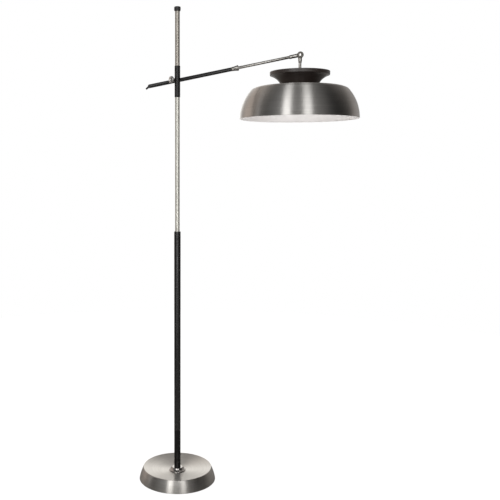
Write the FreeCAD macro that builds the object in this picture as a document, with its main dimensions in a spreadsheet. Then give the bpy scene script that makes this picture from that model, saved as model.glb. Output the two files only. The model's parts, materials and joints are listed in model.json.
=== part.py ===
import FreeCAD, Part
import math
import os
import Sketcher

# Pharmacy floor lamp: a weighted round base, a two-part pole, a sliding and swivelling
# sleeve, a tilting telescopic arm, and a spun metal shade hung from a friction knuckle.
# The pole stands on the Z axis, the floor is Z = 0 and the arm reaches along +X.

doc = FreeCAD.newDocument("pharmacy_floor_lamp")

# ---------------------------------------------------------------- driving dimensions (mm)

DIMENSIONS = {
    # base
    "base_radius": 135, "base_rim_radius": 120, "base_rim_height": 43,
    "base_wall": 1.5, "base_seat_height": 30, "base_seat_radius": 32,
    "base_flare_bend": 160, "base_dish_bend": 430,
    "pad_height": 4, "pad_radius": 122,
    "weight_recess_radius": 24, "weight_recess_height": 13,
    "nipple_radius": 5, "nipple_bore": 3.5, "nipple_top": 62,
    "collar_radius": 29.3, "collar_top_radius": 18.5, "collar_height": 11.5,
    # pole
    "lower_tube_radius": 11.3, "lower_tube_bore": 9.8,
    "lower_tube_foot": 35, "lower_tube_top": 885,
    "upper_tube_radius": 8, "upper_tube_bore": 6.8, "upper_tube_foot": 805,
    "total_height": 1634.5, "cap_radius": 10.9, "cap_height": 14.3,
    # sleeve and its clamp screw
    "sleeve_radius": 9.5, "sleeve_bore": 8.7, "sleeve_foot": 1339, "sleeve_length": 103,
    "liner_radius": 8.65, "liner_bore": 8.05, "liner_length": 18,
    "knob_azimuth": 220, "knob_height": 1395, "knob_radius": 11.8, "knob_reach": 31,
    "screw_radius": 2.5,
    # arm
    "arm_tilt": 11.5, "arm_offset": 22, "crossing_height": 1396.8, "arm_reach": 423,
    "arm_radius": 6.5, "arm_bore": 5.9, "arm_tail": 97, "arm_end": 187,
    "ring_radius": 8.6, "ring_half_length": 7,
    "gland_droop": 28.5, "gland_radius": 3.6, "gland_bore": 2.3, "gland_length": 15,
    "collet_end": 211, "collet_radius": 9.4, "grub_radius": 1.5,
    # pivot between the sleeve and the arm, measured back from the pole
    "saddle_radius": 8, "saddle_face": 12.6, "stud_foot": 11, "stud_head": 15,
    "friction_washer_radius": 7, "friction_washer_thickness": 0.5,
    # telescopic rod and knuckle
    "rod_radius": 4.8, "rod_bore": 3.8, "rod_foot": 115.3,
    "knuckle_radius": 11, "knuckle_half_width": 8, "knuckle_screw_radius": 3,
    "knuckle_gap": 0.3, "knuckle_seat": 14,
    # stem, dish and shade, measured down from the knuckle
    "stem_radius": 4.75, "stem_bore": 3.5,
    "dish_radius": 100.8, "dish_neck_radius": 60, "dish_wall": 1.2,
    "dish_top": 55.4, "dish_lip_depth": 12.3, "dish_flare_bend": 60,
    "shade_radius": 201.5, "shade_wall": 1.0, "shade_top": 106, "shade_rim": 213,
    "shade_shoulder_radius": 162.5, "shade_shoulder_drop": 114.5,
    "shade_crown_radius": 125, "shade_side_bend": 148, "shade_shoulder_bend": 56,
    # lampholder and lamp, measured down from the knuckle
    "holder_radius": 19, "holder_top": 84, "holder_foot": 138, "holder_split": 99,
    "key_drop": 93, "key_radius": 2,
    "bulb_radius": 24, "bulb_foot": 196, "bulb_neck_radius": 12.6, "bulb_glass": 1.0,
}


class Size:
    """A length with its value and the sheet expression that gives it."""

    def __init__(self, value, text):
        self.value, self.text = value, text

    @staticmethod
    def of(other):
        return other if isinstance(other, Size) else Size(float(other), repr(float(other)))

    def __add__(self, other):
        other = Size.of(other)
        return Size(self.value + other.value, f"({self.text} + {other.text})")

    def __sub__(self, other):
        other = Size.of(other)
        return Size(self.value - other.value, f"({self.text} - {other.text})")

    def __mul__(self, factor):
        return Size(self.value * factor, f"({self.text} * {factor})")

    def __neg__(self):
        return self * -1

    __radd__ = __add__


def fill_sheet():
    sheet = doc.addObject("Spreadsheet::Sheet", "Dims")
    for row, (alias, value) in enumerate(DIMENSIONS.items(), start=1):
        sheet.set(f"A{row}", alias)
        sheet.set(f"B{row}", str(value))
        sheet.setAlias(f"B{row}", alias)
    doc.recompute()


def size(alias):
    return Size(float(DIMENSIONS[alias]), f"Dims.{alias}")


fill_sheet()
CLEARANCE = 0.05       # between a bore and the piece that turns or slides in it
SUBPARTS = []          # the objects that are written as STEP files, in order


# ---------------------------------------------------------------- sketch and feature helpers

def origin_plane(body, role):
    return next(f for f in body.Origin.OriginFeatures if f.Role == role)


def new_sketch(body, role, name):
    sketch = body.newObject("Sketcher::SketchObject", name)
    sketch.AttachmentSupport = (origin_plane(body, role), [""])
    sketch.MapMode = "FlatFace"
    return sketch


def bend_centre(start, end, radius):
    """Centre of the arc from start to end: on the left of travel for a positive radius."""
    (ax, ay), (bx, by) = start, end
    chord = math.hypot(bx - ax, by - ay)
    rise = math.sqrt(radius * radius - chord * chord / 4)
    side = math.copysign(1, radius)
    return ((ax + bx) / 2 - side * rise * (by - ay) / chord,
            (ay + by) / 2 + side * rise * (bx - ax) / chord)


def arc_geometry(start, end, radius):
    cx, cy = bend_centre(start, end, radius)
    circle = Part.Circle(FreeCAD.Vector(cx, cy, 0), FreeCAD.Vector(0, 0, 1), abs(radius))
    first = math.atan2(start[1] - cy, start[0] - cx)
    last = math.atan2(end[1] - cy, end[0] - cx)
    if radius < 0:
        first, last = last, first
    return Part.ArcOfCircle(circle, first, last)


def bind(sketch, constraint, expression):
    index = sketch.addConstraint(constraint)
    sketch.setExpression(f"Constraints[{index}]", expression)


def pin_point(sketch, edge, end, point):
    """Hold one end of an edge at its two distances from the sketch's origin."""
    for kind, axis, length in (("DistanceX", -2, point[0]), ("DistanceY", -1, point[1])):
        if abs(length.value) < 1e-9:
            sketch.addConstraint(Sketcher.Constraint("PointOnObject", edge, end, axis))
        else:
            bind(sketch, Sketcher.Constraint(kind, -1, 1, edge, end, length.value), length.text)


def draw_outline(sketch, outline):
    """A closed outline. Each entry is (x, y) or (x, y, bend): the bend is the signed radius
    of the arc that leaves that point, positive when its centre is on the left."""
    corners = [(Size.of(entry[0]), Size.of(entry[1])) for entry in outline]
    bends = [Size.of(entry[2]) if len(entry) > 2 else None for entry in outline]
    starts = []
    for i, (corner, bend) in enumerate(zip(corners, bends)):
        following = corners[(i + 1) % len(corners)]
        a = (corner[0].value, corner[1].value)
        b = (following[0].value, following[1].value)
        if bend is None:
            edge = sketch.addGeometry(Part.LineSegment(FreeCAD.Vector(*a, 0), FreeCAD.Vector(*b, 0)))
            starts.append((edge, 1, 2))
        else:
            edge = sketch.addGeometry(arc_geometry(a, b, bend.value))
            starts.append((edge, 1, 2) if bend.value > 0 else (edge, 2, 1))
    for i, (edge, first, last) in enumerate(starts):
        next_edge, next_first, _ = starts[(i + 1) % len(starts)]
        sketch.addConstraint(Sketcher.Constraint("Coincident", edge, last, next_edge, next_first))
    for (edge, first, _), corner in zip(starts, corners):
        pin_point(sketch, edge, first, corner)
    for (edge, _, _), bend in zip(starts, bends):
        if bend is not None:
            text = bend.text if bend.value > 0 else f"(-1 * {bend.text})"
            bind(sketch, Sketcher.Constraint("Radius", edge, abs(bend.value)), text)


def new_body(label):
    body = doc.addObject("PartDesign::Body", label)
    body.Label = label
    return body


def turned(label, outline, axis="V_Axis", keep=True):
    """A turned piece. The outline is (radius, height) pairs about V_Axis, which is the
    body's Z, or (distance, radius) pairs about H_Axis, which is the body's X."""
    body = new_body(label)
    sketch = new_sketch(body, "XZ_Plane", f"{label}_outline")
    draw_outline(sketch, outline)
    revolution = body.newObject("PartDesign::Revolution", f"{label}_turning")
    revolution.Profile = sketch
    revolution.ReferenceAxis = (sketch, [axis])
    revolution.Angle = 360
    sketch.Visibility = False
    if keep:
        SUBPARTS.append(body)
    return body


def ring(label, inner, outer, foot, top, axis="V_Axis", keep=True):
    """A plain tube, washer or disc between two distances along its axis."""
    if axis == "V_Axis":
        outline = [(inner, foot), (outer, foot), (outer, top), (inner, top)]
    else:
        outline = [(foot, inner), (top, inner), (top, outer), (foot, outer)]
    return turned(label, outline, axis, keep)


def cylinder(label, radius, foot, top, direction="Z"):
    """A construction cylinder between two distances along one of the three axes."""
    tool = doc.addObject("Part::Cylinder", label)
    radius, foot, top = Size.of(radius), Size.of(foot), Size.of(top)
    tool.setExpression("Radius", radius.text)
    tool.setExpression("Height", (top - foot).text)
    turns = {"X": (FreeCAD.Vector(0, 1, 0), 90), "Y": (FreeCAD.Vector(1, 0, 0), -90),
             "Z": (FreeCAD.Vector(0, 0, 1), 0)}
    tool.Placement.Rotation = FreeCAD.Rotation(*turns[direction])
    tool.setExpression(f"Placement.Base.{direction.lower()}", foot.text)
    return tool


def cut(label, base, tool, keep=True):
    result = doc.addObject("Part::Cut", label)
    result.Base, result.Tool = base, tool
    result.Label = label
    if keep:
        SUBPARTS.append(result)
    return result


def fused(label, *shapes):
    result = doc.addObject("Part::MultiFuse", label)
    result.Shapes = list(shapes)
    return result


# ---------------------------------------------------------------- where the pieces stand

KNUCKLE_X = "Dims.arm_reach * cos(Dims.arm_tilt)"
KNUCKLE_Z = "Dims.crossing_height + Dims.arm_reach * sin(Dims.arm_tilt)"


def place(piece, x=None, y=None, z=None, axis=(0, 0, 1), angle=None):
    for name, text in (("x", x), ("y", y), ("z", z)):
        if text:
            piece.setExpression(f"Placement.Base.{name}", text)
    if angle:
        piece.Placement.Rotation = FreeCAD.Rotation(FreeCAD.Vector(*axis), 10)
        piece.setExpression("Placement.Rotation.Angle", angle)
    return piece


def on_arm(piece):
    """The piece's X runs along the arm from where it crosses the pole."""
    return place(piece, y="Dims.arm_offset", z="Dims.crossing_height",
                 axis=(0, -1, 0), angle="Dims.arm_tilt")


def on_knob_axis(piece):
    """The piece's X runs out along the clamp screw."""
    return place(piece, z="Dims.knob_height", angle="Dims.knob_azimuth")


def under_knuckle(piece):
    """The piece hangs on the stem's axis, with its origin in the knuckle."""
    return place(piece, x=KNUCKLE_X, y="Dims.arm_offset", z=KNUCKLE_Z)


# ---------------------------------------------------------------- base

def make_base():
    wall = size("base_wall")
    rim, rim_height = size("base_rim_radius"), size("base_rim_height")
    seat, seat_radius = size("base_seat_height"), size("base_seat_radius")
    flare, hollow = size("base_flare_bend"), size("base_dish_bend")
    nipple = size("nipple_radius")

    turned("base_cover", [
        (size("base_radius"), 1.5, flare),
        (rim + 1.2, rim_height - 1.5, 1.8),
        (rim - 1.2, rim_height, -hollow),
        (seat_radius, seat),
        (nipple + 0.2, seat),
        (nipple + 0.2, seat - wall),
        (seat_radius, seat - wall, hollow),
        (rim - 2.4, rim_height - wall - 0.4),
        (rim - 1.0, rim_height - wall - 1.4, -flare),
        (size("base_radius") - 1.8, 1.5),
    ])
    recess_height = size("weight_recess_height")
    turned("base_weight", [
        (nipple + 0.2, recess_height),
        (size("weight_recess_radius"), recess_height),
        (size("weight_recess_radius"), size("pad_height")),
        (rim + 4, size("pad_height")),
        (rim - 6, 26),
        (rim * 0.5, 26),
        (seat_radius - 1, seat - wall),
        (nipple + 0.2, seat - wall),
    ])
    ring("base_pad", 0, size("pad_radius"), 0, size("pad_height"))
    ring("base_washer", nipple + 0.2, 14, recess_height - 1.5, recess_height)
    make_hex_nut("base_nut", 8.5, nipple, recess_height - 7.5, recess_height - 1.5)
    ring("tie_nipple", size("nipple_bore"), nipple, recess_height - 8.5, size("nipple_top"))

    # the bell-shaped chrome collar that the pole stands in
    foot, top = seat, seat + size("collar_height")
    collar, lip = size("collar_radius"), size("collar_top_radius")
    turned("collar_nut", [
        (nipple + 0.2, foot),
        (collar, foot),
        (collar, foot + 1.6, 1.6),
        (collar - 1.6, foot + 3.0, -13),
        (lip + 1.0, top - 1.8, 1.6),
        (lip - 0.8, top),
        (size("lower_tube_radius") + 0.1, top),
        (size("lower_tube_radius") + 0.1, size("lower_tube_foot")),
        (nipple + 0.2, size("lower_tube_foot")),
    ])


def make_hex_nut(label, across_corners, bore, foot, top):
    """A hexagonal nut, with its corners on a circle of radius across_corners."""
    body = new_body(label)
    sketch = new_sketch(body, "XY_Plane", f"{label}_outline")
    corners = [(across_corners * math.cos(math.radians(60 * i)),
                across_corners * math.sin(math.radians(60 * i))) for i in range(6)]
    draw_outline(sketch, corners)
    bore = Size.of(bore) + CLEARANCE
    circle = Part.Circle(FreeCAD.Vector(0, 0, 0), FreeCAD.Vector(0, 0, 1), bore.value)
    hole = sketch.addGeometry(circle)
    sketch.addConstraint(Sketcher.Constraint("Coincident", hole, 3, -1, 1))
    bind(sketch, Sketcher.Constraint("Radius", hole, bore.value), bore.text)
    pad = body.newObject("PartDesign::Pad", f"{label}_pad")
    pad.Profile = sketch
    pad.setExpression("Length", (Size.of(top) - foot).text)
    body.setExpression("Placement.Base.z", Size.of(foot).text)
    SUBPARTS.append(body)
    return body


# ---------------------------------------------------------------- pole

def make_pole():
    foot, top = size("lower_tube_foot"), size("lower_tube_top")
    outer, bore = size("lower_tube_radius"), size("lower_tube_bore")
    upper, upper_foot = size("upper_tube_radius"), size("upper_tube_foot")
    turned("lower_tube", [
        (bore, foot), (outer, foot), (outer, top - 1.2, 1.2), (outer - 1.2, top), (bore, top),
    ])
    ring("tube_plug", size("nipple_radius") + CLEARANCE, bore - CLEARANCE,
         foot + 0.5, size("nipple_top"))
    ring("joint_bush", upper, bore, top - 40, top - 0.4)
    ring("lower_bush", upper, bore, upper_foot, upper_foot + 20)
    height, cap = size("total_height"), size("cap_radius")
    cap_foot = height - size("cap_height")
    ring("upper_tube", size("upper_tube_bore"), upper, upper_foot, height - 4)
    turned("top_cap", [
        (upper, cap_foot), (cap - 1.4, cap_foot), (cap, cap_foot + 3),
        (cap, height - 3, 3), (cap - 3, height), (0, height),
        (0, height - 4), (upper, height - 4),
    ])


# ---------------------------------------------------------------- sliding sleeve and clamp

def make_sleeve():
    foot, length = size("sleeve_foot"), size("sleeve_length")
    top = foot + length
    outer, bore = size("sleeve_radius"), size("sleeve_bore")
    liner, liner_bore = size("liner_radius"), size("liner_bore")
    reach = size("liner_length")
    turned("lower_liner", [
        (liner_bore, foot), (outer - 0.1, foot), (outer - 0.1, foot + 1),
        (liner, foot + 1), (liner, foot + reach), (liner_bore, foot + reach),
    ])
    turned("upper_liner", [
        (liner_bore, top - reach), (liner, top - reach), (liner, top - 1),
        (outer - 0.1, top - 1), (outer - 0.1, top), (liner_bore, top),
    ])

    # the sleeve's tube, with a hole on the clamp screw's axis
    blank = ring("sleeve_blank", bore, outer, foot + 1.3, top - 1.3, keep=False)
    hole = on_knob_axis(ring("sleeve_hole", 0, 3, 1, 20, "H_Axis", keep=False))
    cut("sleeve", blank, hole)

    # the threaded boss for the clamp screw, saddled on the sleeve
    boss = on_knob_axis(ring("screw_boss_blank", size("screw_radius") + CLEARANCE, 5.5,
                             bore, 16, "H_Axis", keep=False))
    cut("screw_boss", boss, sleeve_space("screw_boss_saddle"))


def sleeve_space(label):
    """The space the sleeve fills, for cutting the saddle of a piece that sits on it."""
    foot = size("sleeve_foot")
    return cylinder(label, size("sleeve_radius"), foot, foot + size("sleeve_length"))


def make_pivot():
    """The arm's pivot behind the sleeve: saddle, stud and friction washer, along Y."""
    face, foot, head = size("saddle_face"), size("stud_foot"), size("stud_head")
    shank = size("screw_radius")
    saddle = cylinder("pivot_saddle_blank", size("saddle_radius"), size("sleeve_radius") - 1,
                      face, "Y")
    socket = cylinder("pivot_socket", shank, foot, face + 1, "Y")
    for piece in (saddle, socket):
        place(piece, z="Dims.crossing_height")
    cut("pivot_saddle", saddle,
        fused("pivot_saddle_hollow", socket, sleeve_space("pivot_saddle_curve")))

    pivot_screw = turned("pivot_screw", [
        (0, foot), (shank, foot), (shank, head - 1.3), (shank + 1.3, head), (0, head),
    ])
    washer = ring("friction_washer", shank + CLEARANCE, size("friction_washer_radius"),
                  face, face + size("friction_washer_thickness"))
    for piece in (pivot_screw, washer):
        place(piece, z="Dims.crossing_height", axis=(1, 0, 0), angle="-90")


def make_clamp_screw():
    shank, head, reach = size("screw_radius"), size("knob_radius"), size("knob_reach")
    pad = ring("brake_pad", 0, shank, 8.35, 11, "H_Axis")
    screw = turned("clamp_screw", [
        (11.3, 0), (reach - 5, 0), (reach - 5, shank), (12, shank), (11.3, shank - 0.7),
    ], "H_Axis")
    back, face = reach - 8, reach
    knob = turned("clamp_knob", [
        (reach - 5, 0), (face - 2.5, 0), (face - 2.5, 3.2), (face, 5.2, 20),
        (face - 0.6, head - 2.2, 2), (face - 2.6, head), (back + 1.8, head, 1.8),
        (back, head - 1.8), (back, 5), (back - 2.5, 4.2), (back - 2.5, shank),
        (reach - 5, shank),
    ], "H_Axis")
    for piece in (pad, screw, knob):
        on_knob_axis(piece)


# ---------------------------------------------------------------- arm

def make_arm():
    radius, bore = size("arm_radius"), size("arm_bore")
    tail, end = size("arm_tail"), size("arm_end")
    half = size("ring_half_length")

    # the ring that carries the arm, with a flat boss facing the sleeve
    barrel = cylinder("arm_ring_barrel", size("ring_radius"), -half, half, "X")
    boss = cylinder("arm_ring_boss", 6.2, size("saddle_face") + 0.8 - size("arm_offset"), 0, "Y")
    through = cylinder("arm_ring_bore", radius, -half - 1, half + 1, "X")
    screw_way = cylinder("arm_ring_pivot_hole", size("screw_radius") + CLEARANCE, -12, 0, "Y")
    sink = ring("arm_ring_sink", 0, 4.1, size("stud_head") - 1.35, size("arm_offset"),
                keep=False)
    grub_way = cylinder("arm_ring_grub_hole", size("grub_radius"), 0, 12, "Y")
    place(sink, y=(-size("arm_offset")).text, axis=(1, 0, 0), angle="-90")
    openings = fused("arm_ring_openings", through, screw_way, sink, grub_way)
    on_arm(cut("arm_ring", fused("arm_ring_blank", barrel, boss), openings))

    tube = ring("arm_tube", bore, radius, -tail, end, "H_Axis")
    offset = size("arm_offset")
    grub = cylinder("ring_screw", size("grub_radius"), offset + radius, offset + 9.4, "Y")
    grub.Label = "ring_screw"
    SUBPARTS.append(grub)
    place(grub, z="Dims.crossing_height")
    on_arm(tube)
    make_tail_cap()
    make_collet()


def make_tail_cap():
    """The moulded end cap with the angled outlet for the supply lead."""
    radius, tail = size("arm_radius"), size("arm_tail")
    droop, outlet = "Dims.gland_droop", size("gland_radius")
    dome = turned("tail_cap_dome", [
        (-tail + 9, 0), (-tail + 9, size("arm_bore") - CLEARANCE),
        (-tail, size("arm_bore") - CLEARANCE), (-tail, radius), (-tail - 1.2, radius, 4.6),
        (-tail - 4.5, 2.2, 8), (-tail - 4.8, 0),
    ], "H_Axis", keep=False)
    length = size("gland_length")
    pipe = turned("tail_cap_outlet", [
        (-length, 0), (0, 0), (0, outlet), (-length + 1, outlet - 0.5), (-length, outlet - 1.0),
    ], "H_Axis", keep=False)
    way_out = ring("tail_cap_way_out", 0, size("gland_bore"), -length - 1, 0, "H_Axis", keep=False)
    knee = doc.addObject("Part::Sphere", "tail_cap_knee")
    knee.setExpression("Radius", "Dims.gland_bore")
    for piece in (pipe, way_out, knee):
        place(piece, x=(-tail).text, axis=(0, -1, 0), angle=droop)
    way_in = cylinder("tail_cap_way_in", size("gland_bore"), -tail, -tail + 12, "X")
    hollow = fused("tail_cap_hollow", way_out, knee, way_in)
    on_arm(cut("tail_cap", fused("tail_cap_solid", dome, pipe), hollow))


def make_collet():
    rod, bore, end = size("rod_radius"), size("arm_bore"), size("arm_end")
    tip = size("collet_end")
    # split brass collet that grips the rod: its fingers are four cuts in a turned sleeve
    body = turned("collet_body", [
        (end - 12, rod + CLEARANCE), (tip - 5, rod + CLEARANCE), (tip - 6, bore - 0.6),
        (tip - 7.5, bore - CLEARANCE), (end - 12, bore - CLEARANCE),
    ], "H_Axis")
    doc.recompute()
    slot = new_sketch(body, "XY_Plane", "collet_slot_outline")
    draw_outline(slot, [(end + 4, -0.5), (tip, -0.5), (tip, 0.5), (end + 4, 0.5)])
    pocket = body.newObject("PartDesign::Pocket", "collet_slot")
    pocket.Profile = slot
    pocket.Type = "ThroughAll"
    pocket.Midplane = True
    doc.recompute()
    slots = body.newObject("PartDesign::PolarPattern", "collet_slots")
    slots.Originals = [pocket]
    slots.Axis = (next(f for f in body.Origin.OriginFeatures if f.Role == "X_Axis"), [""])
    slots.Angle = 180
    slots.Occurrences = 2
    body.Tip = slots

    flare = size("collet_radius")
    nut = turned("collet_nut", [
        (end + 0.3, bore), (tip - 7, bore), (tip - 5, rod + 0.4), (tip, rod + 0.4),
        (tip, flare - 1.2), (tip - 1.2, flare), (tip - 4, flare, -70),
        (end + 1.5, size("arm_radius") + 0.6), (end + 0.3, size("arm_radius") - 0.2),
    ], "H_Axis")
    on_arm(body)
    on_arm(nut)


# ---------------------------------------------------------------- telescopic rod and knuckle

def make_rod():
    rod, bore, foot = size("rod_radius"), size("rod_bore"), size("rod_foot")
    guide = turned("rod_guide", [
        (foot - 3.3, bore), (foot - 0.3, bore), (foot - 0.3, rod + CLEARANCE),
        (foot + 9, rod + CLEARANCE), (foot + 9, size("arm_bore") - CLEARANCE),
        (foot - 3.3, size("arm_bore") - CLEARANCE),
    ], "H_Axis")
    tube = ring("rod", bore, rod, foot, size("arm_reach") - 15, "H_Axis")
    on_arm(guide)
    on_arm(tube)


def make_knuckle_rear():
    """The knuckle's rear half: a disc on the hinge axis and the socket for the rod."""
    radius, half = size("knuckle_radius"), size("knuckle_half_width")
    face = size("knuckle_gap") * 0.5
    socket = turned("knuckle_rear_socket", [
        (-38, 0), (-9, 0), (-9, 6.6), (-36.5, 6.3), (-38, 5.4),
    ], "H_Axis", keep=False)
    disc = cylinder("knuckle_rear_disc", radius, face, half, "Y")
    bore = cylinder("knuckle_rear_bore", size("rod_radius"), -40, -15, "X")
    relief = cylinder("knuckle_rear_relief", radius + 0.4, -10, face, "Y")
    screw = cylinder("knuckle_rear_screw_hole", size("knuckle_screw_radius") + CLEARANCE,
                     -10, 10, "Y")
    hollow = fused("knuckle_rear_hollow", bore, relief, screw)
    piece = cut("knuckle_rear", fused("knuckle_rear_blank", socket, disc), hollow)
    place(piece, x=KNUCKLE_X, y="Dims.arm_offset", z=KNUCKLE_Z,
          axis=(0, -1, 0), angle="Dims.arm_tilt")


def make_knuckle_front():
    """The knuckle's front half, its screw, washer and nut, and the stem."""
    radius, half = size("knuckle_radius"), size("knuckle_half_width")
    stem, shank = size("stem_radius"), size("knuckle_screw_radius")
    face, seat = size("knuckle_gap") * -0.5, size("knuckle_seat")
    socket = turned("knuckle_front_socket", [
        (0, -26), (stem + 0.6, -26), (stem + 1.6, -24.5), (stem + 1.9, -9), (0, -9),
    ], keep=False)
    disc = cylinder("knuckle_front_disc", radius, -half, face, "Y")
    bore = cylinder("knuckle_front_bore", stem, -30, -seat)
    relief = cylinder("knuckle_front_relief", radius + 0.4, face, 10, "Y")
    screw = cylinder("knuckle_front_screw_hole", shank, -10, 10, "Y")
    recess = cylinder("knuckle_front_recess", 6.6, -half - 1, -half + 1.4, "Y")
    hollow = fused("knuckle_front_hollow", bore, relief, screw, recess)
    front = cut("knuckle_front", fused("knuckle_front_blank", socket, disc), hollow)

    screw_piece = turned("knuckle_screw_shank", [
        (0, -half + 1.4), (shank, -half + 1.4), (shank, half + 4.5), (0, half + 4.5),
    ], keep=False)
    head = turned("knuckle_screw_head", [
        (0, -half + 1.4), (0, -half - 1.6), (3.2, -half - 1.2), (5.6, -half - 0.2),
        (5.6, -half + 1.4),
    ], keep=False)
    for piece in (screw_piece, head):
        place(piece, axis=(1, 0, 0), angle="-90")
    whole_screw = fused("knuckle_screw", screw_piece, head)
    SUBPARTS.append(whole_screw)

    washer = cylinder("knuckle_washer_disc", 8.2, half + 0.3, half + 1.1, "Y")
    washer_hole = cylinder("knuckle_washer_hole", shank + CLEARANCE, half, half + 2, "Y")
    knuckle_washer = cut("knuckle_washer", washer, washer_hole)
    nut = make_hex_nut("knuckle_nut", 6.2, shank, 0, 3)
    place(nut, x=KNUCKLE_X, y=f"Dims.arm_offset + {(half + 1.1).text}", z=KNUCKLE_Z,
          axis=(1, 0, 0), angle="-90")
    stem_tube = ring("stem", size("stem_bore"), stem, -(size("holder_top") + 6), -seat)
    for piece in (front, whole_screw, knuckle_washer, stem_tube):
        under_knuckle(piece)


# ---------------------------------------------------------------- dish, shade and lampholder

def make_shade():
    wall, hole = size("dish_wall"), size("holder_radius") + 0.1
    floor, top = size("shade_top"), size("dish_top")
    lip, neck = size("dish_radius"), size("dish_neck_radius")
    lip_foot, flare = top + size("dish_lip_depth"), size("dish_flare_bend")
    under_knuckle(turned("dish", [
        (hole, -floor), (neck, -floor, -flare), (lip - 1.6, -lip_foot),
        (lip, -lip_foot + 1.6), (lip, -top - 0.8, 0.8), (lip - 0.8, -top),
        (lip - 2.0, -top), (lip - 2.0, -lip_foot + 2.2), (lip - 3.2, -lip_foot + wall, flare),
        (neck - wall * 0.7, -floor + wall), (hole, -floor + wall),
    ]))

    skin, rim = size("shade_wall"), size("shade_rim")
    radius, crown = size("shade_radius"), size("shade_crown_radius")
    shoulder, drop = size("shade_shoulder_radius"), size("shade_shoulder_drop")
    side, bend = size("shade_side_bend"), size("shade_shoulder_bend")
    under_knuckle(turned("shade", [
        (hole, -floor), (hole, -floor - skin), (crown - 0.1, -floor - skin - 0.8, -bend),
        (shoulder - 0.7, -drop - 0.7, -side), (radius - 1.3, -rim + 2.5),
        (radius - 1.8, -rim + 2.0), (radius - 1.8, -rim), (radius, -rim),
        (radius, -rim + 2.5, side), (shoulder, -drop, bend), (crown, -floor - 0.8),
    ]))
    thread = size("holder_radius")
    for label, low, high in (("upper_shade_ring", floor - wall, floor - 4.7),
                             ("lower_shade_ring", floor + 4.5, floor + skin + 0.1)):
        under_knuckle(ring(label, thread, 26, -low, -high))


def make_lampholder():
    outer, top, foot = size("holder_radius"), size("holder_top"), size("holder_foot")
    stem, split = size("stem_radius"), size("holder_split")
    key_drop, key_radius = size("key_drop"), size("key_radius")
    # the cap holds the switch: it is open below and has a hole on each piece's axis
    shell = turned("holder_cap_shell", [
        (stem, -top), (outer - 4, -top, -4), (outer, -top - 4), (outer, -split),
        (outer - 2, -split), (outer - 2, -top - 6), (stem, -top - 6),
    ], keep=False)
    key_way = cylinder("holder_cap_key_hole", key_radius + CLEARANCE, -40, 0, "Y")
    place(key_way, z=(-key_drop).text)
    under_knuckle(cut("holder_cap", shell, key_way))
    under_knuckle(turned("holder_body", [
        (14.2, -foot), (outer, -foot), (outer, -split), (outer - 2, -split),
        (outer - 2, -split - 1), (3, -split - 1), (3, -split - 4), (14.2, -split - 4),
    ]))
    under_knuckle(ring("screw_shell", 13.5, 14.1, -foot + 2, -split - 4))
    under_knuckle(turned("centre_contact", [
        (0, -split - 5.5), (4.5, -split - 5.5), (4.5, -split - 4), (2.9, -split - 4),
        (2.9, -split + 3), (0, -split + 3),
    ]))

    # screw-base lamp
    neck, glass = size("bulb_neck_radius"), size("bulb_glass")
    radius, end = size("bulb_radius"), size("bulb_foot")
    lamp_top = -split - 6
    under_knuckle(turned("lamp_base", [
        (0, lamp_top - 2.5), (3.5, lamp_top - 2.5), (neck - glass, lamp_top - 7),
        (neck - glass, -foot - 1), (neck, -foot - 1), (neck, -foot + 1), (13.4, -foot + 2),
        (13.4, lamp_top - 6), (4.5, lamp_top - 1.5), (4, lamp_top), (0, lamp_top),
    ]))
    centre = -end + radius
    rise = bulb_rise(radius, neck)
    inner_rise = bulb_rise(radius - glass, neck - glass)
    under_knuckle(turned("lamp_glass", [
        (0, -end, radius), (neck, centre + rise), (neck, -foot - 1),
        (neck - glass, -foot - 1), (neck - glass, centre + inner_rise, -radius + glass),
        (0, -end + glass),
    ]))

    # the switch key: a shaft through the cap's wall with a flat grip
    shaft = turned("switch_shaft", [
        (0, 17.3), (key_radius, 17.3), (key_radius, 34), (0, 34),
    ], keep=False)
    grip = doc.addObject("Part::Box", "switch_grip")
    for name, length in (("Length", 12), ("Width", 3), ("Height", 14)):
        grip.setExpression(name, str(length))
    grip.Placement.Base = FreeCAD.Vector(-6, -1.5, 28)
    rounded = doc.addObject("Part::Fillet", "switch_grip_round")
    rounded.Base = grip
    doc.recompute()
    rounded.Edges = [(i + 1, 1.2, 1.2) for i, edge in enumerate(grip.Shape.Edges)
                     if abs(edge.tangentAt(edge.FirstParameter).y) > 0.9]
    key = fused("switch_key_whole", shaft, rounded)
    key.Label = "switch_key"
    SUBPARTS.append(key)
    place(key, x=KNUCKLE_X, y="Dims.arm_offset", z=f"{KNUCKLE_Z} - {key_drop.text}",
          axis=(1, 0, 0), angle="90")


def bulb_rise(radius, neck):
    """How far above the middle of a ball its surface closes in to the neck's radius."""
    value = math.sqrt(radius.value ** 2 - neck.value ** 2)
    return Size(value, f"sqrt({radius.text} ^ 2 - {neck.text} ^ 2)")


# ---------------------------------------------------------------- build, check and write

def write_steps():
    doc.recompute()
    faults = [f"{o.Name}: {o.State}" for o in doc.Objects
              if "Invalid" in o.State or "Error" in o.State]
    for piece in SUBPARTS:
        if piece.Shape.isNull() or not piece.Shape.isValid() or not piece.Shape.Solids:
            faults.append(f"{piece.Label}: no valid solid")
    if faults:
        raise RuntimeError("\n".join(faults))
    os.makedirs("parts", exist_ok=True)
    for piece in SUBPARTS:
        piece.Shape.exportStep(f"parts/{piece.Label}.step")
    print(len(SUBPARTS), "sub-parts written")


make_base()
make_pole()
make_sleeve()
make_pivot()
make_clamp_screw()
make_arm()
make_rod()
make_knuckle_rear()
make_knuckle_front()
make_shade()
make_lampholder()
write_steps()
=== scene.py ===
"""Pharmacy floor lamp: its looks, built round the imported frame. All sizes are in metres,
except in outlines, which are (radius, distance along the axis) pairs in millimetres."""
import json
import math

import bmesh
import bpy
from mathutils import Matrix, Vector


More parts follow.
